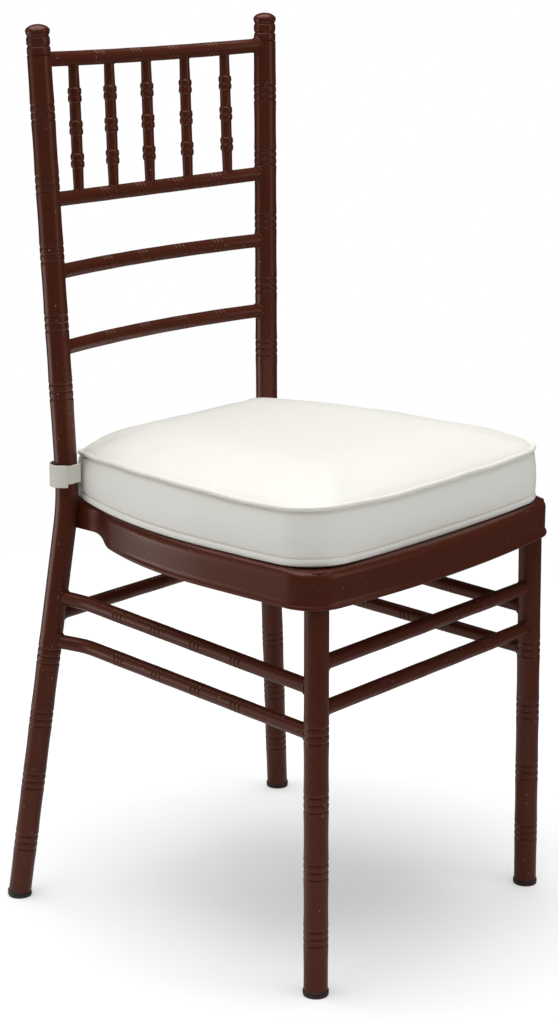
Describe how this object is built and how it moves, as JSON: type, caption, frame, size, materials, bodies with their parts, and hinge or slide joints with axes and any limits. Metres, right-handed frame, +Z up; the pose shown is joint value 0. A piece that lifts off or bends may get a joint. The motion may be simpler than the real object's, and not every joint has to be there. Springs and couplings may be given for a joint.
{
  "type": "chiavari_chair",
  "caption": "Chiavari chair of welded steel tube in dark brown paint with ringed legs, a spindle back, finials and a white box cushion tied on with straps",
  "frame": {"origin": "on the floor under the middle of the chair's bounding box", "axes": "X points to the right of somebody who looks at the chair's front, Y points from its front to its back, Z points up"},
  "size_m": [0.4484, 0.431, 0.92],
  "materials": {
    "frame_paint": "gloss",
    "glide_plastic": "satin",
    "cushion_vinyl": "satin",
    "cushion_foam": "matte",
    "strap_web": "matte"
  },
  "bodies": {
    "frame": {"rear_leg_left": "frame_paint", "front_leg_left": "frame_paint", "rear_leg_right": "frame_paint", "front_leg_right": "frame_paint", "finial_left": "frame_paint", "finial_right": "frame_paint", "glide_front_left": "glide_plastic", "glide_rear_left": "glide_plastic", "glide_front_right": "glide_plastic", "glide_rear_right": "glide_plastic", "top_rail": "frame_paint", "spindle_rail": "frame_paint", "middle_back_rail": "frame_paint", "lower_back_rail": "frame_paint", "spindle_1": "frame_paint", "spindle_2": "frame_paint", "spindle_3": "frame_paint", "spindle_4": "frame_paint", "spindle_5": "frame_paint", "front_stretcher_upper": "frame_paint", "front_stretcher_lower": "frame_paint", "rear_stretcher": "frame_paint", "side_stretcher_upper_left": "frame_paint", "side_stretcher_upper_right": "frame_paint", "side_stretcher_lower_left": "frame_paint", "side_stretcher_lower_right": "frame_paint", "seat_pan": "frame_paint", "back_rail_welds": "frame_paint", "spindle_welds": "frame_paint", "stretcher_welds": "frame_paint"},
    "cushion": {"cushion_foam": "cushion_foam", "cushion_base_panel": "cushion_vinyl", "cushion_side_band": "cushion_vinyl", "cushion_top_panel": "cushion_vinyl", "cushion_piping": "cushion_vinyl", "strap_tab_left": "strap_web", "strap_tab_right": "strap_web", "strap_left": "strap_web", "strap_right": "strap_web", "strap_patch_left": "strap_web", "strap_patch_right": "strap_web"}
  },
  "joints": [
    {"name": "cushion_lift", "type": "slide", "parent": "frame", "child": "cushion", "axis": [0, 0.0335, 0.9994], "range_m": [0, 0.1]}
  ]
}
